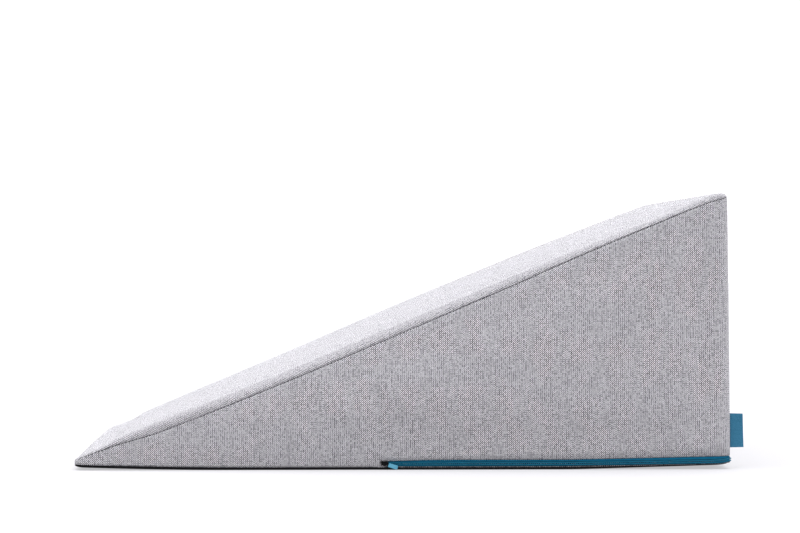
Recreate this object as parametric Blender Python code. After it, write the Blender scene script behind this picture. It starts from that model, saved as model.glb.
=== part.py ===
"""A wedge pillow: firm foam in a taut sewn cloth cover.

A coil zip runs round its heel end, and a bare folded cloth tab stands out of a seam behind it.

The frame has +Z up. The pillow rests on z = 0 with its thin nose towards -X and its tall heel towards +X.
The origin is the middle of its underside. Sizes are in millimetres, and MM turns them into metres.
"""

import math
from collections import namedtuple

import bmesh
import bpy
from mathutils import Matrix, Vector

MM = 0.001

# Overall sizes
LENGTH = 600.0
WIDTH = 600.0
HALF = WIDTH / 2

# The side view, from the nose tip to the heel: the height of the seam that joins the top panel to the side,
# and how far the top panel's edge rises over that seam
Station = namedtuple("Station", "from_nose seam rise")
SIDE_VIEW = (
    Station(0.0, 7.3, 4.1),
    Station(16.0, 12.7, 3.8),
    Station(45.0, 22.7, 5.2),
    Station(109.0, 46.7, 7.6),
    Station(161.0, 67.5, 8.2),
    Station(214.0, 89.2, 8.8),
    Station(298.0, 124.7, 9.3),
    Station(386.0, 162.2, 8.9),
    Station(430.0, 181.4, 8.1),
    Station(477.0, 202.0, 6.6),
    Station(530.0, 224.2, 5.4),
    Station(562.0, 237.6, 5.6),
    Station(585.0, 246.4, 6.4),
    Station(600.0, 250.4, 5.2),
)
PEAK_ROUND = 6.5

# How far each face stands proud of flat, as filled cloth does
TOP_CROWN = 3.5
TOP_CROWN_POWER = 4
SIDE_CROWN = 6.0
HEEL_CROWN = 5.0
NOSE_CROWN = 1.0
HEEL_OUT = 1.0
HEEL_LEAN = 2.7
HEEL_SHAPED_FROM = 500.0
NOSE_SHAPED_TO = 60.0
FULL_CROWN_HEIGHT = 110.0

# The underside is flat in the middle and lifts a little towards its edges
FLAT_FROM = 170.0
FLAT_TO = 450.0
FLAT_HALF = 252.0
NOSE_LIFT = 3.0
HEEL_LIFT = 3.55
HEEL_LIFT_POWER = 1.1
SIDE_LIFT = 0.5
CORNER_LIFT = 1.3
CORNER_LIFT_FROM = 584.0

# Half-widths of the rounded edges, along X at the nose and the heel, along Y, and upwards at the base
NOSE_ROUND = 8.0
HEEL_ROUND = 8.0
SIDE_ROUND = 9.0
BASE_ROUND = 2.0

# Sewn seams, drawn in between the panels
SEAM_HALF = 1.2
SEAM_DEPTH = 1.6
BASE_SEAM_DEPTH = 0.8
CORNER_SEAM_FROM_SIDE = SIDE_ROUND
NOSE_SEAM_FADE = 14.0

# The slot that the zip lies in. It opens beside the slider and runs round the heel.
SLOT_CLOSED_AT = 276.8
SLOT_OPEN_AT = 280.2
SLOT_FULL_AT = 340.0
SLOT_LIP = 0.3
SLOT_CLOSED_TOP = 3.0
SLOT_OPEN_TOP = 7.5
SLOT_FULL_TOP = 8.8
SLOT_CORNER_SQUEEZE = 1.4
SLOT_HEEL_DROP = 0.5
SLOT_OPEN_RAISE = 1.1
BASE_HEEL_DROP = 0.9
SLOT_DEPTH = 1.8

# The zip
GAP = 0.3
TAPE_THICK = 1.0
CHAIN_HEIGHT = 5.0
CHAIN_HEEL_DROP = 1.5
COIL_WIDTH = 1.5
COIL_THICK = 1.1
COIL_CORNERS = 6
TAPE_EDGE_GAP = 0.4
ZIP_START = 287.4
SLIDER_AT = 284.1
SLIDER_UP = 0.5
FAR_SLOT_FROM = ZIP_START - 1.0

# The folded cloth tab in the heel's near corner seam
TAB_LOW = 19.6
TAB_HIGH = 51.2
TAB_OUT = 12.2
TAB_LAYER = 0.5
TAB_BETWEEN = 0.3
TAB_CAUGHT = 0.75
TAB_CAUGHT_HALF = 0.3
TAB_TIP_HALF = 0.25
TAB_SLIT_FROM = 1.1
TAB_SLIT_SHORT = 1.3
TAB_STEPS = 8
TAB_REACH = (1.1, 2.5, 5.0, 7.5, 10.0, 12.3)
TAB_WAVE = 0.5
TAB_WAVES = 1.3
TAB_WAVE_START = 0.4
TAB_LEAN = 0.35
TAB_DROP = 0.3

COLOURS = {
    "cloth": ((0.40, 0.39, 0.43), 0.92, 0.0),
    "tape": ((0.010, 0.095, 0.160), 0.75, 0.0),
    "coil": ((0.015, 0.120, 0.195), 0.45, 0.0),
    "black_metal": ((0.012, 0.012, 0.014), 0.35, 0.6),
    "pull": ((0.085, 0.300, 0.420), 0.45, 0.0),
    "tab": ((0.060, 0.215, 0.340), 0.70, 0.0),
}

Levels = namedtuple("Levels", "rows low_round high_round low high")


# Shape of the pillow


def clamp(value, low, high):
    return max(low, min(high, value))


def side_view(x):
    """The side view's sizes at x from the nose, on smooth curves through the stations."""
    last = len(SIDE_VIEW) - 1
    i = 0
    while i < last - 1 and x > SIDE_VIEW[i + 1].from_nose:
        i += 1
    before, a, b, after = (SIDE_VIEW[clamp(n, 0, last)] for n in (i - 1, i, i + 1, i + 2))
    span = b.from_nose - a.from_nose
    t = clamp((x - a.from_nose) / span, 0.0, 1.0)
    values = [x]
    for column in (1, 2):
        slope_a = (b[column] - before[column]) / (b.from_nose - before.from_nose) * span
        slope_b = (after[column] - a[column]) / (after.from_nose - a.from_nose) * span
        rise = b[column] - a[column]
        values.append(
            a[column] + t * slope_a + t * t * (3 * rise - 2 * slope_a - slope_b)
            + t ** 3 * (slope_a + slope_b - 2 * rise)
        )
    return Station(*values)


def swell(share):
    """A smooth hump along the length: none at the nose or heel, one in the middle."""
    return math.sin(math.pi * clamp(share, 0.0, 1.0))


def crest(x, y):
    """Height of the top panel, before its edges are rounded."""
    at = side_view(x)
    across = 1.0 - abs(y / HALF) ** TOP_CROWN_POWER
    return at.seam + at.rise + TOP_CROWN * across * swell(x / LENGTH)


def towards_heel(x):
    """Nothing up to where the underside stops being flat, growing to one at the heel."""
    return max(0.0, (x - FLAT_TO) / (LENGTH - FLAT_TO))


def at_corner(x):
    """Nothing along the pillow, growing to one over the last few millimetres of the heel."""
    return max(0.0, (x - CORNER_LIFT_FROM) / (LENGTH - CORNER_LIFT_FROM)) ** 2


def base(x, y):
    """Height of the underside: flat on the floor in the middle, lifting towards its edges."""
    towards_nose = max(0.0, (FLAT_FROM - x) / FLAT_FROM)
    towards_side = max(0.0, (abs(y) - FLAT_HALF) / (HALF - FLAT_HALF))
    lift = NOSE_LIFT * towards_nose ** 2 + HEEL_LIFT * towards_heel(x) ** HEEL_LIFT_POWER
    return lift + SIDE_LIFT * towards_side ** 2 + CORNER_LIFT * at_corner(x)


def slot_top(x):
    """Height above the base edge of the zip slot's upper lip."""
    opening = clamp((x - SLOT_CLOSED_AT) / (SLOT_OPEN_AT - SLOT_CLOSED_AT), 0.0, 1.0)
    growing = math.sin(math.pi / 2 * clamp((x - SLOT_OPEN_AT) / (SLOT_FULL_AT - SLOT_OPEN_AT), 0.0, 1.0))
    top = SLOT_CLOSED_TOP + (SLOT_OPEN_TOP - SLOT_CLOSED_TOP) * opening
    top += (SLOT_FULL_TOP - SLOT_OPEN_TOP) * growing
    return top - SLOT_CORNER_SQUEEZE * at_corner(x) - SLOT_HEEL_DROP * towards_heel(x)


def base_round(x):
    """How high the rounded base edge reaches: less towards the heel, where the zip lies closer to it."""
    return BASE_ROUND - BASE_HEEL_DROP * towards_heel(x)


def slot_bottom(x):
    """Height above the base edge of the zip slot's lower lip, a little higher where the slot opens."""
    opening = clamp((ZIP_START - x) / (ZIP_START - SLOT_OPEN_AT), 0.0, 1.0)
    return base_round(x) + SLOT_LIP + SLOT_OPEN_RAISE * opening


def chain_height(x):
    """Height above the base edge of the line between the zip's two coils."""
    return CHAIN_HEIGHT - CHAIN_HEEL_DROP * towards_heel(x)


# Rows up a side: the rounded base edge, the slot's lips, plain rows, then the seam and the rounded top edge
ARC_SHARES = (1.0 - math.tan(math.radians(45.0)), 1.0 - math.tan(math.radians(30.0)),
              1.0 - math.tan(math.radians(15.0)), 1.0)
PLAIN_ROWS = 7
BASE_SEAM_ROW = 3
SLOT_ROWS = (4, 5)
SLOT_LIP_ROW = 6
SEAM_ROW = SLOT_LIP_ROW + PLAIN_ROWS + 3
TOP_ROWS = (0.64, 0.3, 0.0)
MOST_OF_HEIGHT = 0.42


def levels(x, y):
    """The heights of the rows at one place, and the rounding of its base and top edges there."""
    low, high = base(x, y), crest(x, y)
    drop = side_view(x).rise
    top = slot_top(x)
    from_base = [share * base_round(x) for share in ARC_SHARES] + [slot_bottom(x), top, top + SLOT_LIP]
    from_crest = [drop + 4.5, drop + SEAM_HALF, drop, drop - SEAM_HALF]
    from_crest += [share * (drop - SEAM_HALF) for share in TOP_ROWS]
    squeeze_low = min(1.0, MOST_OF_HEIGHT * (high - low) / from_base[-1])
    squeeze_high = min(1.0, MOST_OF_HEIGHT * (high - low) / from_crest[0])
    lower = [low + squeeze_low * v for v in from_base]
    upper = [high - squeeze_high * v for v in from_crest]
    step = (upper[0] - lower[-1]) / (PLAIN_ROWS + 1)
    plain = [lower[-1] + step * (n + 1) for n in range(PLAIN_ROWS)]
    high_round = max(drop, PEAK_ROUND) * squeeze_high
    return Levels(lower + plain + upper, base_round(x) * squeeze_low, high_round, low, high)


def skin(x, y, z, at, depth=0.0):
    """The point of the cover for a point of the sharp wedge, sunk by depth along its normal."""
    middle = Vector((
        clamp(x, NOSE_ROUND, LENGTH - HEEL_ROUND),
        clamp(y, SIDE_ROUND - HALF, HALF - SIDE_ROUND),
        clamp(z, at.low + at.low_round, at.high - at.high_round),
    ))
    reach = Vector((
        NOSE_ROUND if x < middle.x else HEEL_ROUND,
        SIDE_ROUND,
        at.low_round if z < middle.z else at.high_round,
    ))
    out = Vector(((x - middle.x) / reach.x, (y - middle.y) / reach.y, (z - middle.z) / reach.z))
    out.normalize()
    point = middle + Vector(out[n] * reach[n] for n in range(3))
    normal = Vector(out[n] / reach[n] for n in range(3)).normalized()
    share = (z - at.low) / (at.high - at.low)
    hump = 4 * share * (1 - share)
    tall = min(1.0, (at.high - at.low) / FULL_CROWN_HEIGHT)
    point.y += math.copysign(SIDE_CROWN * hump * tall * swell(x / LENGTH), out.y) * (abs(out.y) > 0.5)
    near_heel = clamp((x - HEEL_SHAPED_FROM) / (LENGTH - HEEL_SHAPED_FROM), 0.0, 1.0) ** 2
    across = 1 - (y / HALF) ** 2
    point.x += near_heel * (HEEL_OUT + HEEL_CROWN * hump * across + HEEL_LEAN * (1 - share))
    near_nose = clamp((NOSE_SHAPED_TO - x) / NOSE_SHAPED_TO, 0.0, 1.0) ** 2
    point.x -= near_nose * NOSE_CROWN * across
    return point - normal * depth


def in_row_frame(point):
    """From millimetres behind the nose to metres about the middle of the underside."""
    return Vector(((point.x - LENGTH / 2) * MM, point.y * MM, point.z * MM))


# Lines of the cushion's grid


def mirrored(values):
    return sorted({-v for v in values} | set(values))


def arc_lines(edge, inwards, size):
    return [edge + inwards * share * size for share in ARC_SHARES]


X_LINES = sorted(
    arc_lines(0.0, 1, NOSE_ROUND)
    + [15.0, 26.0, 42.0, 64.0, 93.0, 130.0, FLAT_FROM, 206.0, 245.0]
    + [SLOT_CLOSED_AT, 277.0, SLOT_OPEN_AT, FAR_SLOT_FROM, ZIP_START, 296.0, 308.0, 324.0, SLOT_FULL_AT]
    + [375.0, 412.0, FLAT_TO, 485.0, 520.0, 550.0, 572.0, CORNER_LIFT_FROM, 588.5]
    + arc_lines(LENGTH, -1, HEEL_ROUND)
)
Y_LINES = mirrored(
    arc_lines(HALF, -1, SIDE_ROUND)
    + [HALF - CORNER_SEAM_FROM_SIDE + SEAM_HALF, HALF - CORNER_SEAM_FROM_SIDE - SEAM_HALF]
    + [273.0, FLAT_HALF, 210.0, 160.0, 107.0, 53.0, 0.0]
)
ROWS = SLOT_LIP_ROW + 1 + PLAIN_ROWS + 7
CORNER_SEAMS = (HALF - CORNER_SEAM_FROM_SIDE, CORNER_SEAM_FROM_SIDE - HALF)


def drawn_in(x, y, row):
    """How far the cover is drawn in at a grid point: at its seams, and in the zip's slot."""
    on_heel = x == LENGTH
    on_side = abs(y) == HALF
    slot_from = SLOT_OPEN_AT if y < 0 else ZIP_START
    if row in SLOT_ROWS and (on_heel or (on_side and x >= slot_from)):
        return SLOT_DEPTH
    if row == SEAM_ROW and (on_side or on_heel or x == 0.0):
        return SEAM_DEPTH
    if row == BASE_SEAM_ROW and on_side and x <= SLOT_CLOSED_AT:
        return BASE_SEAM_DEPTH * clamp(x / NOSE_SEAM_FADE - 1.0, 0.0, 1.0)
    if on_heel and y in CORNER_SEAMS and SLOT_LIP_ROW <= row < SEAM_ROW:
        return SEAM_DEPTH
    return 0.0


def cushion_mesh():
    """The filled cover: a box-like grid bent to the crowned wedge, with its seams and slot drawn in."""
    bm = bmesh.new()
    found = {}
    most = (len(X_LINES) - 1, len(Y_LINES) - 1, ROWS - 1)

    def vertex(i, j, k):
        if (i, j, k) not in found:
            x, y = X_LINES[i], Y_LINES[j]
            at = levels(x, y)
            point = skin(x, y, at.rows[k], at, drawn_in(x, y, k))
            found[i, j, k] = bm.verts.new(in_row_frame(point))
        return found[i, j, k]

    for axis in range(3):
        u, v = (n for n in range(3) if n != axis)
        for end in (0, most[axis]):
            for a in range(most[u]):
                for b in range(most[v]):
                    ring = []
                    for da, db in ((0, 0), (1, 0), (1, 1), (0, 1)):
                        index = [0, 0, 0]
                        index[axis], index[u], index[v] = end, a + da, b + db
                        ring.append(vertex(*index))
                    bm.faces.new(ring)
    bmesh.ops.recalc_face_normals(bm, faces=bm.faces)
    return bm


# The zip


def zip_route():
    """Places of the sharp base edge that the zip follows: near side, heel and far side."""
    near = [x for x in X_LINES if x >= ZIP_START]
    across = Y_LINES[1:-1]
    stops = [(x, -HALF) for x in near]
    stops += [(LENGTH, y) for y in across]
    stops += [(x, HALF) for x in reversed(near)]
    return stops


def ribbon_mesh(section):
    """A strip along the zip's route.

    Section gives its corners at x, each as a height above the base edge and a depth under the cover.
    """
    bm = bmesh.new()
    rings = []
    for x, y in zip_route():
        at = levels(x, y)
        ring = [bm.verts.new(in_row_frame(skin(x, y, at.low + v, at, depth))) for v, depth in section(x)]
        rings.append(ring)
    for one, two in zip(rings, rings[1:]):
        for n in range(len(one)):
            m = (n + 1) % len(one)
            bm.faces.new((one[n], one[m], two[m], two[n]))
    bm.faces.new(rings[0])
    bm.faces.new(rings[-1])
    bmesh.ops.recalc_face_normals(bm, faces=bm.faces)
    return bm


TAPE_FACE = SLOT_DEPTH - GAP - TAPE_THICK
TAPE_BACK = SLOT_DEPTH - GAP


def upper_tape_section(x):
    low, high = chain_height(x) + GAP / 2, slot_top(x) - TAPE_EDGE_GAP
    return [(low, TAPE_FACE), (high, TAPE_FACE), (high, TAPE_BACK), (low, TAPE_BACK)]


def lower_tape_section(x):
    low, high = slot_bottom(x) + TAPE_EDGE_GAP, chain_height(x) - GAP / 2
    return [(low, TAPE_FACE), (high, TAPE_FACE), (high, TAPE_BACK), (low, TAPE_BACK)]


def coil_section(side):
    """The closed coil on one tape's edge, as a rod with six sides."""
    middle = side * (COIL_WIDTH + GAP) / 2
    depth = TAPE_FACE - GAP - COIL_THICK / 2
    corners = []
    for n in range(COIL_CORNERS):
        turn = 2 * math.pi * n / COIL_CORNERS
        corners.append((middle + COIL_WIDTH / 2 * math.cos(turn), depth - COIL_THICK / 2 * math.sin(turn)))
    return lambda x: [(chain_height(x) + up, under) for up, under in corners]


# The slider and its pull, in a flat frame on the cover: u along the zip, v up, n out of the cover

SLIDER_OUT = 0.9
SLIDER_IN = SLOT_DEPTH - GAP
SLIDER_OUTLINE = (
    (-3.3, -1.1), (-2.7, -1.6), (-1.1, -1.7), (2.1, -1.45), (2.9, -1.2),
    (2.9, 1.2), (2.1, 1.45), (-1.1, 1.7), (-2.7, 1.6), (-3.3, 1.1), (-2.8, 0.0),
)
ARCH_FROM = -1.7
ARCH_TO = 1.9
ARCH_BAR = 0.75
ARCH_HALF = 0.4
ARCH_RISE = 2.1
ARCH_SINK = 0.4
ARCH_CUT = 0.8
ARCH_INNER_CUT = 0.25
LOOP_BAR = 0.65
LOOP_THICK = 0.75
LOOP_HALF = 2.0
LOOP_FROM = -0.3
LOOP_TO = 3.3
LOOP_CUT = 0.5
LOOP_INNER_CUT = 0.2
LOOP_INNER_WIDER = 0.1
PULL_LENGTH = 8.8
PULL_ROOT_HALF = 1.7
PULL_END_HALF = 1.85
PULL_THICK = 1.5
PULL_UNDER = 0.35
PULL_CUT = 0.7
PULL_TURN = math.radians(-17.0)
PULL_OUT = SLIDER_OUT + GAP


def slider_frame():
    """Where the slider sits, lying on the cover: u along the zip, v up and n out of the cover."""
    def on_cover(x, up):
        at = levels(x, -HALF)
        return in_row_frame(skin(x, -HALF, at.low + CHAIN_HEIGHT + SLIDER_UP + up, at))

    reach = 2.0
    origin = on_cover(SLIDER_AT, 0.0)
    along = (on_cover(SLIDER_AT + reach, 0.0) - on_cover(SLIDER_AT - reach, 0.0)).normalized()
    out = along.cross(on_cover(SLIDER_AT, reach) - on_cover(SLIDER_AT, -reach)).normalized()
    axes = Matrix((along, out.cross(along), out)).transposed()
    return Matrix.Translation(origin) @ axes.to_4x4() @ Matrix.Scale(MM, 4)


def plate(bm, outline, low, high):
    """A flat plate of that outline between two heights. Returns its vertices."""
    bottom = [bm.verts.new((u, v, low)) for u, v in outline]
    face = bm.faces.new(bottom)
    made = bmesh.ops.extrude_face_region(bm, geom=[face])
    top = [g for g in made["geom"] if isinstance(g, bmesh.types.BMVert)]
    bmesh.ops.translate(bm, verts=top, vec=(0, 0, high - low))
    return bottom + top


def ring_plate(bm, outer, inner, low, high):
    """A plate with a hole: outer and inner are outlines with the same number of corners."""
    rings = [[bm.verts.new((u, v, n)) for u, v in outline] for outline, n in
             ((outer, low), (outer, high), (inner, high), (inner, low))]
    count = len(outer)
    for a in range(4):
        one, two = rings[a], rings[(a + 1) % 4]
        for n in range(count):
            m = (n + 1) % count
            bm.faces.new((one[n], one[m], two[m], two[n]))


def slider_mesh():
    bm = bmesh.new()
    plate(bm, SLIDER_OUTLINE, -SLIDER_IN, SLIDER_OUT)
    bmesh.ops.recalc_face_normals(bm, faces=bm.faces)
    return bm


def arch_mesh():
    """The bridge that holds the pull, sunk into the slider so that the two join."""
    bm = bmesh.new()
    low_cut, shoulder = ARCH_RISE - ARCH_CUT, ARCH_RISE - ARCH_BAR - ARCH_INNER_CUT
    outer = ((ARCH_FROM, -ARCH_SINK), (ARCH_FROM, low_cut), (ARCH_FROM + ARCH_CUT, ARCH_RISE),
             (ARCH_TO - ARCH_CUT, ARCH_RISE), (ARCH_TO, low_cut), (ARCH_TO, -ARCH_SINK))
    inner = ((ARCH_TO - ARCH_BAR, -ARCH_SINK), (ARCH_TO - ARCH_BAR, shoulder),
             (ARCH_TO - ARCH_BAR - ARCH_INNER_CUT, ARCH_RISE - ARCH_BAR),
             (ARCH_FROM + ARCH_BAR + ARCH_INNER_CUT, ARCH_RISE - ARCH_BAR),
             (ARCH_FROM + ARCH_BAR, shoulder), (ARCH_FROM + ARCH_BAR, -ARCH_SINK))
    sides = [[bm.verts.new((u, v, SLIDER_OUT + n)) for u, n in outer + inner] for v in (-ARCH_HALF, ARCH_HALF)]
    near, far = sides
    count = len(near)
    for n in range(count):
        m = (n + 1) % count
        bm.faces.new((near[n], near[m], far[m], far[n]))
    half = count // 2
    for side in sides:
        for n in range(half - 1):
            bm.faces.new((side[n], side[n + 1], side[count - 2 - n], side[count - 1 - n]))
    bmesh.ops.recalc_face_normals(bm, faces=bm.faces)
    return bm


def loop_mesh():
    """The wire loop through the arch: a flat ring whose far bar lies under the arch."""
    bm = bmesh.new()
    outer = rectangle(LOOP_FROM, LOOP_TO, LOOP_HALF, LOOP_CUT)
    inner_half = LOOP_HALF - LOOP_BAR + LOOP_INNER_WIDER
    inner = rectangle(LOOP_FROM + LOOP_BAR, LOOP_TO - LOOP_BAR, inner_half, LOOP_INNER_CUT)
    ring_plate(bm, outer, inner, 0.0, LOOP_THICK)
    bmesh.ops.recalc_face_normals(bm, faces=bm.faces)
    return bm


def rectangle(low_u, high_u, half_v, cut):
    """A rectangle with cut corners, as eight points."""
    return (
        (low_u + cut, -half_v), (high_u - cut, -half_v), (high_u, -half_v + cut), (high_u, half_v - cut),
        (high_u - cut, half_v), (low_u + cut, half_v), (low_u, half_v - cut), (low_u, -half_v + cut),
    )


def pull_tab_mesh():
    """The moulded tab on the loop, a little wider at its free end."""
    bm = bmesh.new()
    start = LOOP_TO + GAP
    end = start + PULL_LENGTH
    outline = (
        (start, -PULL_ROOT_HALF), (end - PULL_CUT, -PULL_END_HALF), (end, PULL_CUT - PULL_END_HALF),
        (end, PULL_END_HALF - PULL_CUT), (end - PULL_CUT, PULL_END_HALF), (start, PULL_ROOT_HALF),
    )
    plate(bm, outline, -PULL_UNDER, PULL_THICK - PULL_UNDER)
    bmesh.ops.recalc_face_normals(bm, faces=bm.faces)
    return bm


# The folded cloth tab


def tab_mesh():
    """A strip folded in two, its ends caught in the corner seam and its fold standing out behind the heel."""
    bm = bmesh.new()
    half = TAB_LAYER + TAB_BETWEEN / 2
    tip = TAB_OUT + TAB_CAUGHT
    slit_to, slit_half = tip - TAB_SLIT_SHORT, TAB_BETWEEN / 2
    outside = [(0.0, TAB_CAUGHT_HALF)] + [(u, half) for u in TAB_REACH] + [(tip, TAB_TIP_HALF), (tip, -TAB_TIP_HALF)]
    outside += [(u, -half) for u in reversed(TAB_REACH)] + [(0.0, -TAB_CAUGHT_HALF)]
    inside = [(TAB_SLIT_FROM, -slit_half), (slit_to, -slit_half), (slit_to, slit_half), (TAB_SLIT_FROM, slit_half)]
    rings = []
    for n in range(TAB_STEPS + 1):
        share = n / TAB_STEPS
        z = TAB_LOW + (TAB_HIGH - TAB_LOW) * share
        at = levels(LENGTH, CORNER_SEAM_FROM_SIDE - HALF)
        root = skin(LENGTH, CORNER_SEAM_FROM_SIDE - HALF, z, at, TAB_CAUGHT)
        ring = []
        for u, side in outside + inside:
            far = u / TAB_OUT
            wave = TAB_WAVE * math.sin(math.pi * TAB_WAVES * share + TAB_WAVE_START) * far ** 2
            lean = -TAB_LEAN * far * (2 * share - 1)
            drop = TAB_DROP * far * math.cos(math.pi * share)
            ring.append(bm.verts.new(in_row_frame(root + Vector((u + lean, side + wave, drop)))))
        rings.append(ring)
    count = len(rings[0])
    for one, two in zip(rings, rings[1:]):
        for n in range(count):
            m = (n + 1) % count
            bm.faces.new((one[n], one[m], two[m], two[n]))
    bm.faces.new(rings[0])
    bm.faces.new(rings[-1])
    bmesh.ops.recalc_face_normals(bm, faces=bm.faces)
    return bm


# Putting the pieces in the scene


def material(name):
    colour, roughness, metallic = COLOURS[name]
    made = bpy.data.materials.get(name) or bpy.data.materials.new(name)
    made.use_nodes = True
    shader = made.node_tree.nodes["Principled BSDF"]
    shader.inputs["Base Color"].default_value = (*colour, 1.0)
    shader.inputs["Roughness"].default_value = roughness
    shader.inputs["Metallic"].default_value = metallic
    return made


def piece(name, bm, colour, matrix=None, smooth_angle=35.0):
    mesh = bpy.data.meshes.new(name)
    bm.to_mesh(mesh)
    bm.free()
    mesh.shade_smooth()
    mesh.set_sharp_from_angle(angle=math.radians(smooth_angle))
    mesh.materials.append(material(colour))
    made = bpy.data.objects.new(name, mesh)
    if matrix is not None:
        made.matrix_world = matrix
    bpy.context.scene.collection.objects.link(made)
    return made


def build():
    for old in list(bpy.data.objects):
        bpy.data.objects.remove(old)

    piece("cushion", cushion_mesh(), "cloth")
    piece("zip_tape_upper", ribbon_mesh(upper_tape_section), "tape")
    piece("zip_tape_lower", ribbon_mesh(lower_tape_section), "tape")
    piece("zip_coil_upper", ribbon_mesh(coil_section(1)), "coil")
    piece("zip_coil_lower", ribbon_mesh(coil_section(-1)), "coil")

    seat = slider_frame()
    slider = piece("zip_slider", slider_mesh(), "black_metal", seat)
    arch = piece("slider_arch", arch_mesh(), "black_metal", seat)
    arch.hide_render = True
    arch.display_type = "WIRE"
    join = slider.modifiers.new("join", "BOOLEAN")
    join.operation = "UNION"
    join.solver = "EXACT"
    join.object = arch

    hang = seat @ Matrix.Rotation(PULL_TURN, 4, "Z") @ Matrix.Translation((0, 0, PULL_OUT))
    piece("zip_pull_loop", loop_mesh(), "black_metal", hang)
    piece("zip_pull_tab", pull_tab_mesh(), "pull", hang)
    piece("side_tab", tab_mesh(), "tab")


build()
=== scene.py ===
"""The looks of the wedge pillow: its woven cover with sewn seams, its coil zip and its bare side tab.

Lengths are in millimetres, as in the part's source, and MM turns them into metres. X runs from the nose to
the heel and starts at 0 at the nose in the shape functions; in_row_frame moves it to the row's frame.
"""

import math
from collections import namedtuple

import bmesh
import bpy
import numpy as np
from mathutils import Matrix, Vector


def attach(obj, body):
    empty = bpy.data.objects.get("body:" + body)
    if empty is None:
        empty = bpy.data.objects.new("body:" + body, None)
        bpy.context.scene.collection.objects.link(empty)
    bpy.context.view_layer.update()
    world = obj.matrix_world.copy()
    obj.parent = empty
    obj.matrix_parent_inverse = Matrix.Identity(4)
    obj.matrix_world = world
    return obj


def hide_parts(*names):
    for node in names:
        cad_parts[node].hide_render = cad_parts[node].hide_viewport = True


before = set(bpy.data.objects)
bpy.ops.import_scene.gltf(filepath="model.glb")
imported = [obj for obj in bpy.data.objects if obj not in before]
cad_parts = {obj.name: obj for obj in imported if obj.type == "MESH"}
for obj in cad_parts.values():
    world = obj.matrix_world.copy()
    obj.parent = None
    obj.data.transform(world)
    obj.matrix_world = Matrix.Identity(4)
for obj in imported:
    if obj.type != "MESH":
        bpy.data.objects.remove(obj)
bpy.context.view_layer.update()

MM = 0.001
BODY = "root"

# Sizes of the pillow, as in the part's source. The nose differs a little: the cover lies up to 1.5 mm lower
# there than the solid, and along its near edge it stands proud of it by the lip.
LENGTH = 600.0
WIDTH = 600.0
HALF = WIDTH / 2
Station = namedtuple("Station", "from_nose seam rise lip")
SIDE_VIEW = (
    Station(0.0, 7.3, 2.9, 1.2),
    Station(16.0, 12.7, 2.3, 3.0),
    Station(45.0, 22.7, 5.0, 5.2),
    Station(109.0, 46.7, 7.6, 3.9),
    Station(161.0, 67.5, 8.2, 2.0),
    Station(214.0, 89.2, 8.8, 1.4),
    Station(298.0, 124.7, 9.3, 0.6),
    Station(386.0, 162.2, 8.9, 0.0),
    Station(430.0, 181.4, 8.1, 0.0),
    Station(477.0, 202.0, 6.6, 0.0),
    Station(530.0, 224.2, 5.4, 0.0),
    Station(562.0, 237.6, 5.6, 0.0),
    Station(585.0, 246.4, 6.4, 0.0),
    Station(600.0, 250.4, 5.2, 0.0),
)
PEAK_ROUND = 6.5
LIP_FROM = 200.0
TOP_CROWN = 3.5
TOP_CROWN_POWER = 4
SIDE_CROWN = 6.0
HEEL_CROWN = 5.0
NOSE_CROWN = 1.0
HEEL_OUT = 1.0
HEEL_LEAN = 2.7
HEEL_SHAPED_FROM = 500.0
NOSE_SHAPED_TO = 60.0
FULL_CROWN_HEIGHT = 110.0
FLAT_FROM = 170.0
FLAT_TO = 450.0
FLAT_HALF = 252.0
NOSE_LIFT = 3.0
HEEL_LIFT = 3.55
HEEL_LIFT_POWER = 1.1
SIDE_LIFT = 0.5
CORNER_LIFT = 1.3
CORNER_LIFT_FROM = 584.0
NOSE_ROUND = 8.0
HEEL_ROUND = 8.0
SIDE_ROUND = 9.0
BASE_ROUND = 2.0
CORNER_SEAM = HALF - SIDE_ROUND
SLOT_CLOSED_AT = 276.8
SLOT_OPEN_AT = 280.2
SLOT_FULL_AT = 340.0
SLOT_LIP = 0.3
SLOT_CLOSED_TOP = 3.0
SLOT_OPEN_TOP = 7.5
SLOT_FULL_TOP = 8.8
SLOT_CORNER_SQUEEZE = 1.4
SLOT_HEEL_DROP = 0.5
SLOT_OPEN_RAISE = 1.1
BASE_HEEL_DROP = 0.9
SLOT_DEPTH = 1.8
ZIP_START = 287.4
CHAIN_HEIGHT = 5.0
CHAIN_HEEL_DROP = 1.5
TAPE_FACE = 0.5

# Seams between the panels
SEAM_DEPTH = 1.2
SEAM_HALF = 0.85
BASE_SEAM_DEPTH = 0.8
NOSE_SEAM_FADE = 14.0
SHARP_WIDTH = 0.62
SOFT_WIDTH = 3.2
SOFT_SHARE = 0.18
STITCH_PITCH = 3.3
STITCH_LONG = 2.1
STITCH_THICK = 0.6
STITCH_SUNK = 0.75

# Cloth simulation that puffs the panels between their seams
SIM_FRAMES = 20
SIM_PRESSURE = 4.0
MOST_PUFF = 2.5

# How far in from an edge the cover is held, and then fades to free
HELD_FOR = 16.0
HELD_FADE = 26.0

# Camera, in millimetres in the row's frame, at the photograph's angle
EYE = (-108.0, -3360.0, 189.0)
AIM = (-1.8, -300.0, 186.7)
FOCAL_PX = 3336.0
PICTURE_WIDE = 800
SENSOR = 36.0

Levels = namedtuple("Levels", "rows low_round high_round low high")


# Shape of the pillow


def clamp(value, low, high):
    return max(low, min(high, value))


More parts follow.
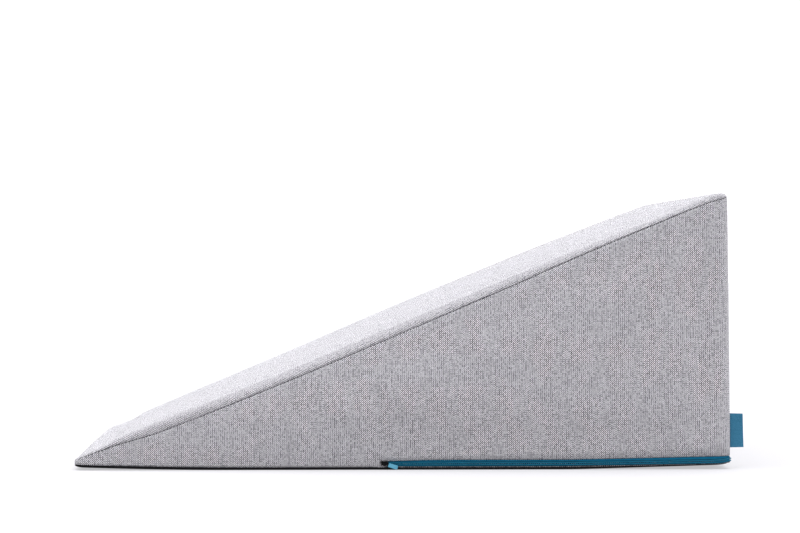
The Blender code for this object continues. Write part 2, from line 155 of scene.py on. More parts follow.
def side_view(x):
    """The side view's sizes at x from the nose, on smooth curves through the stations."""
    last = len(SIDE_VIEW) - 1
    i = 0
    while i < last - 1 and x > SIDE_VIEW[i + 1].from_nose:
        i += 1
    before, a, b, after = (SIDE_VIEW[clamp(n, 0, last)] for n in (i - 1, i, i + 1, i + 2))
    span = b.from_nose - a.from_nose
    t = clamp((x - a.from_nose) / span, 0.0, 1.0)
    values = [x]
    for column in (1, 2, 3):
        slope_a = (b[column] - before[column]) / (b.from_nose - before.from_nose) * span
        slope_b = (after[column] - a[column]) / (after.from_nose - a.from_nose) * span
        rise = b[column] - a[column]
        values.append(
            a[column] + t * slope_a + t * t * (3 * rise - 2 * slope_a - slope_b)
            + t ** 3 * (slope_a + slope_b - 2 * rise)
        )
    return Station(*values)


def swell(share):
    """A smooth hump along the length: none at the nose or heel, one in the middle."""
    return math.sin(math.pi * clamp(share, 0.0, 1.0))


def near_lip(x, y):
    """How much higher the top panel stands along its near edge than along its far one."""
    return max(0.0, side_view(x).lip) * max(0.0, (-y - LIP_FROM) / (HALF - LIP_FROM)) ** 2


def crest(x, y):
    """Height of the top panel, before its edges are rounded."""
    at = side_view(x)
    across = 1.0 - abs(y / HALF) ** TOP_CROWN_POWER
    return at.seam + at.rise + near_lip(x, y) + TOP_CROWN * across * swell(x / LENGTH)


def towards_heel(x):
    """Nothing up to where the underside stops being flat, growing to one at the heel."""
    return max(0.0, (x - FLAT_TO) / (LENGTH - FLAT_TO))


def at_corner(x):
    """Nothing along the pillow, growing to one over the last few millimetres of the heel."""
    return max(0.0, (x - CORNER_LIFT_FROM) / (LENGTH - CORNER_LIFT_FROM)) ** 2


def towards_side(y):
    """Nothing up to where the underside stops being flat, growing to one at either side."""
    return max(0.0, (abs(y) - FLAT_HALF) / (HALF - FLAT_HALF))


def base(x, y):
    """Height of the underside: flat on the floor in the middle, lifting towards its edges."""
    towards_nose = max(0.0, (FLAT_FROM - x) / FLAT_FROM)
    lift = NOSE_LIFT * towards_nose ** 2 + HEEL_LIFT * towards_heel(x) ** HEEL_LIFT_POWER
    return lift + SIDE_LIFT * towards_side(y) ** 2 + CORNER_LIFT * at_corner(x)


def slot_top(x):
    """Height above the base edge of the zip slot's upper lip."""
    opening = clamp((x - SLOT_CLOSED_AT) / (SLOT_OPEN_AT - SLOT_CLOSED_AT), 0.0, 1.0)
    growing = clamp((x - SLOT_OPEN_AT) / (SLOT_FULL_AT - SLOT_OPEN_AT), 0.0, 1.0)
    growing = math.sin(math.pi / 2 * growing)
    top = SLOT_CLOSED_TOP + (SLOT_OPEN_TOP - SLOT_CLOSED_TOP) * opening
    top += (SLOT_FULL_TOP - SLOT_OPEN_TOP) * growing
    return top - SLOT_CORNER_SQUEEZE * at_corner(x) - SLOT_HEEL_DROP * towards_heel(x)


def base_round(x):
    """How high the rounded base edge reaches: less towards the heel, where the zip lies closer."""
    return BASE_ROUND - BASE_HEEL_DROP * towards_heel(x)


def slot_bottom(x):
    """Height above the base edge of the zip slot's lower lip, a little higher where the slot opens."""
    opening = clamp((ZIP_START - x) / (ZIP_START - SLOT_OPEN_AT), 0.0, 1.0)
    return base_round(x) + SLOT_LIP + SLOT_OPEN_RAISE * opening


def chain_height(x):
    """Height above the base edge of the line between the zip's two coils."""
    return CHAIN_HEIGHT - CHAIN_HEEL_DROP * towards_heel(x)


# Rows up a side: shares of the base edge's rounding, then plain rows, then offsets around the seam, then
# shares of the way up to the crest
BASE_ROWS = (0.0, 0.17, 0.45, 0.75, 1.0)
SEAM_OFFSETS = (6.5, 3.6, 2.2, 1.3, 0.65, 0.0, -0.65, -1.3)
TOP_ROWS = (0.78, 0.55, 0.34, 0.16, 0.0)
PLAIN_ROWS = 24
SLOT_ROWS = (len(BASE_ROWS), len(BASE_ROWS) + 1)
LIP_ROW = SLOT_ROWS[1] + 1
SEAM_ROW = LIP_ROW + PLAIN_ROWS + 1 + SEAM_OFFSETS.index(0.0)
ROWS = LIP_ROW + 1 + PLAIN_ROWS + len(SEAM_OFFSETS) + len(TOP_ROWS)
MOST_OF_HEIGHT = 0.42
# The lowest rows up a side, which hang a little and are coloured near black as painted contact shade along
# the base
UNDERSIDE_SHADE_ROWS = 4

# How much lower than the foam the cover hangs along its lower side edges, which fades towards the heel, and
# the least height it keeps
EDGE_HANG = 1.1
EDGE_REST = 0.03


def levels(x, y):
    """The heights of the rows at one place, and the rounding of its base and top edges there."""
    low, high = base(x, y), crest(x, y)
    rise = side_view(x).rise
    drop = rise + near_lip(x, y)
    top = slot_top(x)
    from_base = [share * base_round(x) for share in BASE_ROWS] + [slot_bottom(x), top, top + SLOT_LIP]
    from_crest = [drop + offset for offset in SEAM_OFFSETS]
    from_crest += [share * (drop + SEAM_OFFSETS[-1]) for share in TOP_ROWS]
    squeeze_low = min(1.0, MOST_OF_HEIGHT * (high - low) / from_base[-1])
    squeeze_high = min(1.0, MOST_OF_HEIGHT * (high - low) / from_crest[0])
    lower = [low + squeeze_low * v for v in from_base]
    upper = [high - squeeze_high * v for v in from_crest]
    step = (upper[0] - lower[-1]) / (PLAIN_ROWS + 1)
    plain = [lower[-1] + step * (n + 1) for n in range(PLAIN_ROWS)]
    high_round = max(rise, PEAK_ROUND) * squeeze_high
    return Levels(lower + plain + upper, base_round(x) * squeeze_low, high_round, low, high)


def skin(x, y, z, at, depth=0.0):
    """The point of the cover for a point of the sharp wedge, sunk by depth along its normal."""
    middle = Vector((
        clamp(x, NOSE_ROUND, LENGTH - HEEL_ROUND),
        clamp(y, SIDE_ROUND - HALF, HALF - SIDE_ROUND),
        clamp(z, at.low + at.low_round, at.high - at.high_round),
    ))
    reach = Vector((
        NOSE_ROUND if x < middle.x else HEEL_ROUND,
        SIDE_ROUND,
        at.low_round if z < middle.z else at.high_round,
    ))
    out = Vector(((x - middle.x) / reach.x, (y - middle.y) / reach.y, (z - middle.z) / reach.z))
    out.normalize()
    point = middle + Vector(out[n] * reach[n] for n in range(3))
    normal = Vector(out[n] / reach[n] for n in range(3)).normalized()
    share = (z - at.low) / (at.high - at.low)
    hump = 4 * share * (1 - share)
    tall = min(1.0, (at.high - at.low) / FULL_CROWN_HEIGHT)
    point.y += math.copysign(SIDE_CROWN * hump * tall * swell(x / LENGTH), out.y) * (abs(out.y) > 0.5)
    near_heel = clamp((x - HEEL_SHAPED_FROM) / (LENGTH - HEEL_SHAPED_FROM), 0.0, 1.0) ** 2
    across = 1 - (y / HALF) ** 2
    point.x += near_heel * (HEEL_OUT + HEEL_CROWN * hump * across + HEEL_LEAN * (1 - share))
    near_nose = clamp((NOSE_SHAPED_TO - x) / NOSE_SHAPED_TO, 0.0, 1.0) ** 2
    point.x -= near_nose * NOSE_CROWN * across
    return point - normal * depth


def in_row_frame(point):
    """From millimetres behind the nose to metres about the middle of the underside."""
    return Vector(((point.x - LENGTH / 2) * MM, point.y * MM, point.z * MM))


# Node helpers


def new_material(name, roughness, specular=0.3):
    made = bpy.data.materials.new(name)
    made.use_nodes = True
    shader = made.node_tree.nodes["Principled BSDF"]
    shader.inputs["Roughness"].default_value = roughness
    shader.inputs["Specular IOR Level"].default_value = specular
    return made, made.node_tree, shader


def math_node(tree, operation, a, b=None, c=None, clamped=False):
    """A Math node whose inputs are sockets or numbers. Returns its output socket."""
    node = tree.nodes.new("ShaderNodeMath")
    node.operation = operation
    node.use_clamp = clamped
    for socket, value in zip(node.inputs, (a, b, c)):
        if value is None:
            continue
        if isinstance(value, (int, float)):
            socket.default_value = value
        else:
            tree.links.new(value, socket)
    return node.outputs[0]


def noise_node(tree, vector, scale, detail=2.0, roughness=0.5):
    """A Noise texture's single value, about 0.5 on average."""
    node = tree.nodes.new("ShaderNodeTexNoise")
    node.inputs["Scale"].default_value = scale
    node.inputs["Detail"].default_value = detail
    node.inputs["Roughness"].default_value = roughness
    tree.links.new(vector, node.inputs["Vector"])
    return node.outputs["Fac"]


def object_place(tree):
    """A point's place in its piece, in metres."""
    return tree.nodes.new("ShaderNodeTexCoord").outputs["Object"]


def combined(tree, x, y, z=0.0):
    node = tree.nodes.new("ShaderNodeCombineXYZ")
    for socket, value in zip(node.inputs, (x, y, z)):
        if isinstance(value, (int, float)):
            socket.default_value = value
        else:
            tree.links.new(value, socket)
    return node.outputs[0]


def ramp(tree, fac, stops):
    """A colour ramp: stops are (place, (r, g, b))."""
    node = tree.nodes.new("ShaderNodeValToRGB")
    elements = node.color_ramp.elements
    while len(elements) < len(stops):
        elements.new(0.5)
    for element, (place, colour) in zip(elements, stops):
        element.position = place
        element.color = (*colour, 1.0)
    tree.links.new(fac, node.inputs["Fac"])
    return node.outputs["Color"]


def bump_into(tree, shader, height, distance, strength=1.0):
    """Relief of that height at the shader, with the distance in metres."""
    node = tree.nodes.new("ShaderNodeBump")
    node.inputs["Strength"].default_value = strength
    node.inputs["Distance"].default_value = distance
    tree.links.new(height, node.inputs["Height"])
    tree.links.new(node.outputs["Normal"], shader.inputs["Normal"])


# How uneven the weaving is: how fast a yarn's place changes across the warp and along it, and by how many
# yarns. The two drifts come from places of one noise that lie apart.
WARP_DRIFT = ((330.0, 45.0), 1.6)
WEFT_DRIFT = ((45.0, 45.0), 1.3)
DRIFTS_APART = 7.0


def drift(tree, uv, uneven, slice_at):
    """How far the yarns are off their places, in yarns."""
    pace, most = uneven
    node = tree.nodes.new("ShaderNodeVectorMath")
    node.operation = "MULTIPLY_ADD"
    node.inputs[1].default_value = (*pace, 0.0)
    node.inputs[2].default_value = (0.0, 0.0, slice_at)
    tree.links.new(uv, node.inputs[0])
    return math_node(tree, "MULTIPLY", noise_node(tree, node.outputs[0], 1.0, 1.0), most)


def cloth_coordinates(tree, pitch):
    """How many yarns across (u) and up (v) a point of the cloth is, uneven as real weaving is."""
    uv = tree.nodes.new("ShaderNodeUVMap")
    uv.uv_map = "Cloth"
    split = tree.nodes.new("ShaderNodeSeparateXYZ")
    tree.links.new(uv.outputs["UV"], split.inputs[0])
    across, along = pitch
    u = math_node(tree, "MULTIPLY_ADD", split.outputs[0], 1.0 / (across * MM),
                  drift(tree, uv.outputs["UV"], WARP_DRIFT, 0.0))
    v = math_node(tree, "MULTIPLY_ADD", split.outputs[1], 1.0 / (along * MM),
                  drift(tree, uv.outputs["UV"], WEFT_DRIFT, DRIFTS_APART))
    return u, v


# How high a yarn still stands where it dives under the next one
YARN_DIP = 0.55


def weave(tree, u, v):
    """A plain weave: returns its height, which yarn is on top, and the cell's whole numbers."""
    cell_u, cell_v = math_node(tree, "FLOOR", u), math_node(tree, "FLOOR", v)
    in_u, in_v = math_node(tree, "FRACT", u), math_node(tree, "FRACT", v)
    parity = math_node(tree, "PINGPONG", math_node(tree, "ADD", cell_u, cell_v), 1.0)
    round_u = math_node(tree, "SINE", math_node(tree, "MULTIPLY", in_u, math.pi))
    round_v = math_node(tree, "SINE", math_node(tree, "MULTIPLY", in_v, math.pi))
    over_v = math_node(tree, "MULTIPLY_ADD", round_v, 1.0 - YARN_DIP, YARN_DIP)
    over_u = math_node(tree, "MULTIPLY_ADD", round_u, 1.0 - YARN_DIP, YARN_DIP)
    warp = math_node(tree, "MULTIPLY", round_u, over_v)
    weft = math_node(tree, "MULTIPLY", round_v, over_u)
    mix = tree.nodes.new("ShaderNodeMix")
    tree.links.new(parity, mix.inputs["Factor"])
    tree.links.new(weft, mix.inputs["A"])
    tree.links.new(warp, mix.inputs["B"])
    return mix.outputs["Result"], parity, cell_u, cell_v


def white(tree, x, y):
    """A random value for each pair of whole numbers."""
    node = tree.nodes.new("ShaderNodeTexWhiteNoise")
    node.noise_dimensions = "2D"
    tree.links.new(combined(tree, x, y), node.inputs["Vector"])
    return node.outputs["Value"]


# Materials

CLOTH_PITCH = (0.945, 0.93)
UNDERSIDE_PITCH = (0.8, 0.8)
CLOTH_DARK = (0.035, 0.034, 0.039)
CLOTH_MIDDLE = (0.240, 0.236, 0.255)
CLOTH_LIGHT = (0.745, 0.736, 0.765)
WEAVE_RELIEF = 0.22 * MM

# The cloth's tone: its level, and how much the yarns' height (painted shade, darker where the yarns dip),
# the yarn on top, every other warp yarn, single stitches and longer stretches of a warp yarn move it
CLOTH_LEVEL = 0.42
YARN_GAP_SHADE_TONE = 0.16
ON_TOP_TONE = 0.82
WARP_TONE = 0.34
SPECK_TONE = 0.48
SLUB_TONE = 0.06
SLUBS_PER_YARN = 0.34


def cover_material():
    """Heather plain weave of light and dark grey polyester yarns."""
    made, tree, shader = new_material("cover_heather_weave", 0.92, 0.18)
    shader.inputs["Sheen Weight"].default_value = 0.20
    shader.inputs["Sheen Roughness"].default_value = 0.6
    u, v = cloth_coordinates(tree, CLOTH_PITCH)
    height, parity, cell_u, cell_v = weave(tree, u, v)
    every_other = math_node(tree, "PINGPONG", cell_u, 1.0)
    speck = white(tree, cell_u, cell_v)
    stretch = math_node(tree, "FLOOR", math_node(tree, "MULTIPLY", cell_v, SLUBS_PER_YARN))
    slub = white(tree, cell_u, stretch)
    # Painted shade: the colour darkens where the yarns dip between one another
    value = math_node(tree, "MULTIPLY_ADD", height, YARN_GAP_SHADE_TONE, CLOTH_LEVEL)
    tones = ((parity, ON_TOP_TONE), (every_other, WARP_TONE), (speck, SPECK_TONE), (slub, SLUB_TONE))
    for part, weight in tones:
        centred = math_node(tree, "SUBTRACT", part, 0.5)
        value = math_node(tree, "MULTIPLY_ADD", centred, weight, value)
    value = math_node(tree, "ADD", value, 0.0, clamped=True)
    colour = ramp(tree, value, ((0.0, CLOTH_DARK), (0.5, CLOTH_MIDDLE), (1.0, CLOTH_LIGHT)))
    tree.links.new(colour, shader.inputs["Base Color"])
    bump_into(tree, shader, height, WEAVE_RELIEF)
    return made


# Near-black tones of the underside's edge: painted contact shade where the pillow meets the floor
UNDERSIDE_CONTACT_SHADE_COLOURS = (
    (0.0, (0.003, 0.003, 0.004)),
    (1.0, (0.014, 0.014, 0.016)),
)


def underside_contact_shade_material():
    """Near-black woven underside, of which only the edge shows: painted contact shade, a dark line under the
    side.
    """
    made, tree, shader = new_material("underside_painted_contact_shade", 0.9, 0.1)
    u, v = cloth_coordinates(tree, UNDERSIDE_PITCH)
    height, parity, cell_u, cell_v = weave(tree, u, v)
    speck = white(tree, cell_u, cell_v)
    # Painted shade between the yarns: darker where they dip
    yarn_gap_shade = math_node(tree, "MULTIPLY", height, 0.4)
    value = math_node(tree, "MULTIPLY_ADD", speck, 0.5, yarn_gap_shade, clamped=True)
    tree.links.new(ramp(tree, value, UNDERSIDE_CONTACT_SHADE_COLOURS), shader.inputs["Base Color"])
    bump_into(tree, shader, height, WEAVE_RELIEF)
    return made


TAPE_COLOURS = (
    (0.25, (0.002, 0.075, 0.140)),
    (0.5, (0.005, 0.110, 0.200)),
    (0.8, (0.012, 0.160, 0.270)),
)


def tape_material():
    """Teal zip tape: fine woven grain over softer patches."""
    made, tree, shader = new_material("zip_tape_teal", 0.8, 0.06)
    place = object_place(tree)
    fine = noise_node(tree, place, 2600.0, 2.0)
    soft = noise_node(tree, place, 210.0, 2.0)
    cloud = math_node(tree, "MULTIPLY", soft, 0.4)
    value = math_node(tree, "MULTIPLY_ADD", fine, 0.6, cloud, clamped=True)
    tree.links.new(ramp(tree, value, TAPE_COLOURS), shader.inputs["Base Color"])
    bump_into(tree, shader, fine, 0.12 * MM, 0.8)
    return made


THREAD_GRAIN = 1800.0


def thread_material(name, dark, light, roughness, specular=0.3):
    """Spun thread or nylon coil: two close colours over fine noise."""
    made, tree, shader = new_material(name, roughness, specular)
    place = object_place(tree)
    fine = noise_node(tree, place, THREAD_GRAIN, 3.0)
    tree.links.new(ramp(tree, fine, ((0.3, dark), (0.7, light))), shader.inputs["Base Color"])
    bump_into(tree, shader, fine, 0.04 * MM, 0.6)
    return made


LACQUER_COLOURS = (
    (0.45, (0.003, 0.003, 0.004)),
    (0.78, (0.014, 0.014, 0.016)),
)


def metal_material():
    """Black lacquered zip slider, a little worn in patches."""
    made, tree, shader = new_material("slider_black_lacquer", 0.45, 0.12)
    place = object_place(tree)
    wear = noise_node(tree, place, 900.0, 4.0, 0.6)
    tree.links.new(ramp(tree, wear, LACQUER_COLOURS), shader.inputs["Base Color"])
    rough = math_node(tree, "MULTIPLY_ADD", wear, 0.35, 0.30)
    tree.links.new(rough, shader.inputs["Roughness"])
    bump_into(tree, shader, wear, 0.03 * MM, 0.5)
    return made


PULL_COLOURS = (
    (0.3, (0.070, 0.300, 0.435)),
    (0.7, (0.110, 0.375, 0.520)),
)


def pull_material():
    """Moulded matt teal plastic of the pull, with a fine grain."""
    made, tree, shader = new_material("pull_moulded_teal", 0.5, 0.4)
    place = object_place(tree)
    grain = noise_node(tree, place, 3200.0, 2.0)
    cloud = noise_node(tree, place, 260.0, 2.0)
    tree.links.new(ramp(tree, cloud, PULL_COLOURS), shader.inputs["Base Color"])
    bump_into(tree, shader, grain, 0.04 * MM, 0.6)
    return made


TAB_PITCH = (0.34, 0.34)
TAB_COLOURS = (
    (0.0, (0.010, 0.075, 0.140)),
    (0.5, (0.030, 0.150, 0.255)),
    (1.0, (0.075, 0.260, 0.390)),
)


def tab_material():
    """Woven tab ribbon: a very fine weave, left bare."""
    made, tree, shader = new_material("side_tab_woven_teal", 0.7, 0.12)
    shader.inputs["Sheen Weight"].default_value = 0.05
    u, v = cloth_coordinates(tree, TAB_PITCH)
    height, parity, cell_u, cell_v = weave(tree, u, v)
    speck = white(tree, cell_u, cell_v)
    # The yarns' height term is painted shade: darker where the yarns dip
    value = math_node(tree, "MULTIPLY_ADD", speck, 0.35, math_node(tree, "MULTIPLY", height, 0.45))
    value = math_node(tree, "MULTIPLY_ADD", parity, 0.18, value, clamped=True)
    tree.links.new(ramp(tree, value, TAB_COLOURS), shader.inputs["Base Color"])
    bump_into(tree, shader, height, 0.1 * MM)
    return made


# The tint of the floor's glow and of the tent
WHITE = (1.0, 0.995, 1.02, 1.0)

FLOOR_GLOW = 0.50
FLOOR_COLOURS = (
    (0.3, (0.216, 0.214, 0.220)),
    (0.7, (0.226, 0.224, 0.230)),
)


def floor_material():
    """White sheet on a light table, which glows a little and so keeps the shadows soft."""
    made, tree, shader = new_material("floor_white_sheet", 0.85, 0.2)
    shader.inputs["Emission Color"].default_value = WHITE
    shader.inputs["Emission Strength"].default_value = FLOOR_GLOW
    place = object_place(tree)
    soft = noise_node(tree, place, 3.0, 2.0)
    tree.links.new(ramp(tree, soft, FLOOR_COLOURS), shader.inputs["Base Color"])
    return made


# Building pieces


def as_piece(name, bm, material, slot, *replaced, smooth_angle=None):
    mesh = bpy.data.meshes.new(name)
    bm.to_mesh(mesh)
    bm.free()
    mesh.shade_smooth()
    if smooth_angle is not None:
        mesh.set_sharp_from_angle(angle=math.radians(smooth_angle))
    mesh.materials.append(material)
    made = bpy.data.objects.new(name, mesh)
    bpy.context.scene.collection.objects.link(made)
    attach(made, BODY)
    if replaced:
        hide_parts(*replaced)
    return made


def tube(bm, rings):
    """Joins rings of vertices into a closed tube."""
    count = len(rings[0])
    for one, two in zip(rings, rings[1:]):
        for n in range(count):
            m = (n + 1) % count
            bm.faces.new((one[n], one[m], two[m], two[n]))
    bm.faces.new(rings[0])
    bm.faces.new(rings[-1])


# The cushion


def spaced(low, high, step):
    """Evenly spaced values strictly between two others, at most step apart."""
    count = max(1, math.ceil((high - low) / step))
    return [low + (high - low) * n / count for n in range(1, count)]


ARC = [1.0 - math.tan(math.radians(a)) for a in (45.0, 37.5, 30.0, 22.5, 15.0, 7.5, 0.0)]
X_STEP = 6.5
Y_STEP = 8.5
SLOT_LINES = (278.0, 279.1)
SLIDER_LINE = 283.0
CORNER_LINE = 588.0
CORNER_SEAM_LINES = (-3.5, -2.2, -1.2, -0.6, 0.6, 1.2)


def x_lines():
    nose = [share * NOSE_ROUND for share in ARC]
    heel = [LENGTH - share * HEEL_ROUND for share in ARC]
    slot = [SLOT_CLOSED_AT, *SLOT_LINES, SLOT_OPEN_AT, SLIDER_LINE, ZIP_START - 1.0, ZIP_START]
    plain = spaced(nose[-1], SLOT_CLOSED_AT, X_STEP) + spaced(ZIP_START, CORNER_LIFT_FROM, X_STEP)
    return sorted(nose + heel + slot + plain + [CORNER_LIFT_FROM, CORNER_LINE])


def y_lines():
    side = [HALF - share * SIDE_ROUND for share in ARC]
    seam = [CORNER_SEAM + offset for offset in CORNER_SEAM_LINES]
    plain = spaced(-seam[0], seam[0], Y_STEP)
    whole = side + seam + [-v for v in side + seam] + plain
    return sorted({round(v, 4) for v in whole})


X_LINES = x_lines()
Y_LINES = y_lines()


def valley(offset, depth):
    """Depth of a sewn seam's groove at an offset from its line: a sharp valley in a soft shallow one."""
    sharp = math.exp(-((offset / (SHARP_WIDTH * SEAM_HALF)) ** 2))
    soft = math.exp(-((offset / SOFT_WIDTH) ** 2))
    return depth * sharp + SOFT_SHARE * depth * soft


def drawn_in(x, y, row, at):
    """How far the cover is drawn in at a grid point: at its seams, and in the zip's slot."""
    on_heel = x == LENGTH
    on_side = abs(y) == HALF
    slot_from = SLOT_OPEN_AT if y < 0 else ZIP_START
    if row in SLOT_ROWS and (on_heel or (on_side and x >= slot_from)):
        return SLOT_DEPTH
    depth = 0.0
    if on_side or on_heel or x == 0.0:
        depth = max(depth, valley(at.rows[row] - at.rows[SEAM_ROW], SEAM_DEPTH))
    if on_side and x <= SLOT_CLOSED_AT:
        from_seam = at.rows[row] - at.rows[len(BASE_ROWS) - 1]
        from_nose = clamp(x / NOSE_SEAM_FADE - 1.0, 0.0, 1.0)
        depth = max(depth, valley(from_seam, BASE_SEAM_DEPTH) * from_nose)
    if on_heel and LIP_ROW <= row < SEAM_ROW:
        depth = max(depth, valley(abs(y) - CORNER_SEAM, SEAM_DEPTH))
    return depth


def cloth_place(axis, x, y, z, row, at):
    """Where a point of the cover lies on its cut panel, in metres: across the warp, then along it.

    The warp runs up the sides and the heel, and along the length of the top and the underside.
    """
    over_seam = row >= SEAM_ROW
    slope = math.hypot(1.0, (SIDE_VIEW[-1].seam - SIDE_VIEW[0].seam) / LENGTH)
    round_edge = at.high - z
    if axis == 2:
        return y * MM, (x * slope if row else x) * MM
    if axis == 1:
        if over_seam:
            return math.copysign(HALF + round_edge, y) * MM, x * slope * MM
        return x * MM, z * MM
    if over_seam:
        return y * MM, (x * slope + (round_edge if x else -round_edge)) * MM
    return (y + WIDTH) * MM, z * MM


def how_held(x, y, z, at):
    """One along every edge of the pillow and under it, fading to nothing inside the panels."""
    if z <= at.low:
        return 1.0
    from_edges = sorted((
        min(x, LENGTH - x),
        HALF - abs(y),
        min(z - at.low, at.high - z),
    ))
    return clamp(1.0 - (from_edges[1] - HELD_FOR) / HELD_FADE, 0.0, 1.0)


def cushion_mesh():
    """The cover over its foam, on a fine grid, with the place of each point on its panel as UVs."""
    bm = bmesh.new()
    uv = bm.loops.layers.uv.new("Cloth")
    pinned = bm.verts.layers.deform.verify()
    found = {}
    most = (len(X_LINES) - 1, len(Y_LINES) - 1, ROWS - 1)
    at_line = {}

    def at(i, j):
        if (i, j) not in at_line:
            at_line[i, j] = levels(X_LINES[i], Y_LINES[j])
        return at_line[i, j]

    def vertex(i, j, k):
        if (i, j, k) not in found:
            x, y, here = X_LINES[i], Y_LINES[j], at(i, j)
            depth = drawn_in(x, y, k, here)
            point = skin(x, y, here.rows[k], here, depth)
            if k < UNDERSIDE_SHADE_ROWS:
                hang = EDGE_HANG * towards_side(y) ** 2 * (1.0 - towards_heel(x))
                point.z -= min(point.z - EDGE_REST, hang)
            made = bm.verts.new(in_row_frame(point))
            made[pinned][0] = how_held(x, y, here.rows[k], here)
            found[i, j, k] = made
        return found[i, j, k]

    for axis in range(3):
        a_axis, b_axis = (n for n in range(3) if n != axis)
        for end in (0, most[axis]):
            for a in range(most[a_axis]):
                for b in range(most[b_axis]):
                    ring, places = [], []
                    for da, db in ((0, 0), (1, 0), (1, 1), (0, 1)):
                        index = [0, 0, 0]
                        index[axis], index[a_axis], index[b_axis] = end, a + da, b + db
                        ring.append(vertex(*index))
                        places.append(index)
                    face = bm.faces.new(ring)
                    row = min(place[2] for place in places)
                    # Faces of the lowest rows take the near-black underside: painted contact shade along the
                    # base
                    if row < UNDERSIDE_SHADE_ROWS:
                        face.material_index = 1
                    for loop, (i, j, k) in zip(face.loops, places):
                        here = at(i, j)
                        loop[uv].uv = cloth_place(axis, X_LINES[i], Y_LINES[j], here.rows[k], row, here)
    bmesh.ops.recalc_face_normals(bm, faces=bm.faces)
    return bm


def positions(mesh):
    flat = np.empty(len(mesh.vertices) * 3)
    mesh.vertices.foreach_get("co", flat)
    return flat.reshape(-1, 3)


def puff(obj):
    """Presses the panels out with a short cloth simulation, and applies the result."""
    before = positions(obj.data)
    group = obj.vertex_groups.new(name="held")
    cloth = obj.modifiers.new("cloth", "CLOTH")
    settings = cloth.settings
    settings.vertex_group_mass = group.name
    settings.quality = 4
    settings.mass = 0.0004
    settings.tension_stiffness = 22.0
    settings.compression_stiffness = 22.0
    settings.shear_stiffness = 9.0
    settings.bending_stiffness = 0.6
    settings.air_damping = 3.0
    settings.use_pressure = True
    settings.uniform_pressure_force = SIM_PRESSURE
    settings.shrink_min = -0.006
    settings.effector_weights.gravity = 0.0
    cloth.point_cache.frame_end = SIM_FRAMES
    scene = bpy.context.scene
    for now in range(1, SIM_FRAMES + 1):
        scene.frame_set(now)
    graph = bpy.context.evaluated_depsgraph_get()
    shown = obj.evaluated_get(graph)
    after = positions(shown.to_mesh())
    shown.to_mesh_clear()
    obj.modifiers.remove(cloth)
    scene.frame_set(1)
    weights = obj.data.vertices
    free = np.array([1.0 - weights[n].groups[0].weight for n in range(len(weights))])
    moved = (after - before) * free[:, None]
    far = np.linalg.norm(moved, axis=1, keepdims=True)
    moved *= np.minimum(1.0, MOST_PUFF * MM / np.maximum(far, 1e-9))
    obj.data.vertices.foreach_set("co", (before + moved).ravel())
    obj.data.update()
    print("puffed by", round(float(far.max() / MM), 2), "mm before the cap")


cushion = as_piece("cover_and_foam", cushion_mesh(), cover_material(), "cover_cloth", "cushion")
# The second material paints contact shade: the near-black edge along the base
cushion.data.materials.append(underside_contact_shade_material())
puff(cushion)


# The seams' stitches

# Where each ring of a stitch lies along it, and how thick it is there
STITCH_RINGS = ((-0.5, 0.45), (-0.3, 1.0), (0.3, 1.0), (0.5, 0.45))
STITCH_DIP = 0.35
STITCH_SIDES = 6
BASE_STITCHES_FROM = 30.0
BASE_STITCH_SUNK = 0.45


def capsule(bm, place, along, out, length, thick):
    """One stitch: a low rounded bar lying along a seam."""
    side = along.cross(out).normalized()
    rings = []
    for t, size in STITCH_RINGS:
        middle = place + along * (length * t) - out * (thick * STITCH_DIP * (1.0 - size))
        ring = []
        for n in range(STITCH_SIDES):
            turn = math.tau * n / STITCH_SIDES
            around = side * math.cos(turn) + out * math.sin(turn)
            ring.append(bm.verts.new(middle + around * (thick / 2 * size)))
        rings.append(ring)
    tube(bm, rings)


def walk(points, pitch):
    """Places every pitch along a line of points, each with its direction."""
    places = []
    carry = pitch / 2
    for one, two in zip(points, points[1:]):
        step = two - one
        length = step.length
        while carry < length:
            places.append((one + step * (carry / length), step.normalized()))
            carry += pitch
        carry -= length
    return places


def row_point(x, y, row, depth):
    """A point of one of the cover's rows, sunk by depth."""
    at = levels(x, y)
    return in_row_frame(skin(x, y, at.rows[row], at, depth))


def seam_lines():
    """Each seam as a line in its groove and the same line above it, which shows the way out."""
    lines = []
    round_top = [(x, -HALF) for x in X_LINES]
    round_top += [(LENGTH, y) for y in Y_LINES[1:-1]]
    round_top += [(x, HALF) for x in reversed(X_LINES)]
    round_top += [(0.0, y) for y in reversed(Y_LINES[1:-1])]
    round_top.append(round_top[0])
    depths = (STITCH_SUNK, 0.0)
    lines.append([[row_point(x, y, SEAM_ROW, d) for x, y in round_top] for d in depths])
    for side in (-1, 1):
        rows = range(LIP_ROW + 1, SEAM_ROW - 2)
        lines.append([[row_point(LENGTH, side * CORNER_SEAM, row, d) for row in rows] for d in depths])
        xs = [x for x in X_LINES if BASE_STITCHES_FROM < x <= SLOT_CLOSED_AT]
        base_row = len(BASE_ROWS) - 1
        base_depths = (BASE_STITCH_SUNK, 0.0)
        lines.append([[row_point(x, side * HALF, base_row, d) for x in xs] for d in base_depths])
    return lines


def stitches_mesh():
    bm = bmesh.new()
    for inner, outer in seam_lines():
        sunk, proud = walk(inner, STITCH_PITCH * MM), walk(outer, STITCH_PITCH * MM)
        for (place, along), (above, _) in zip(sunk, proud):
            out = above - place
            out -= along * out.dot(along)
            capsule(bm, place, along, out.normalized(), STITCH_LONG * MM, STITCH_THICK * MM)
    bmesh.ops.recalc_face_normals(bm, faces=bm.faces)
    return bm


SEAM_THREAD = ((0.020, 0.020, 0.024), (0.055, 0.054, 0.060))

thread = thread_material("seam_thread_grey", *SEAM_THREAD, 0.8)
as_piece("seam_stitches", stitches_mesh(), thread, "cover_cloth")


# The zip's coils

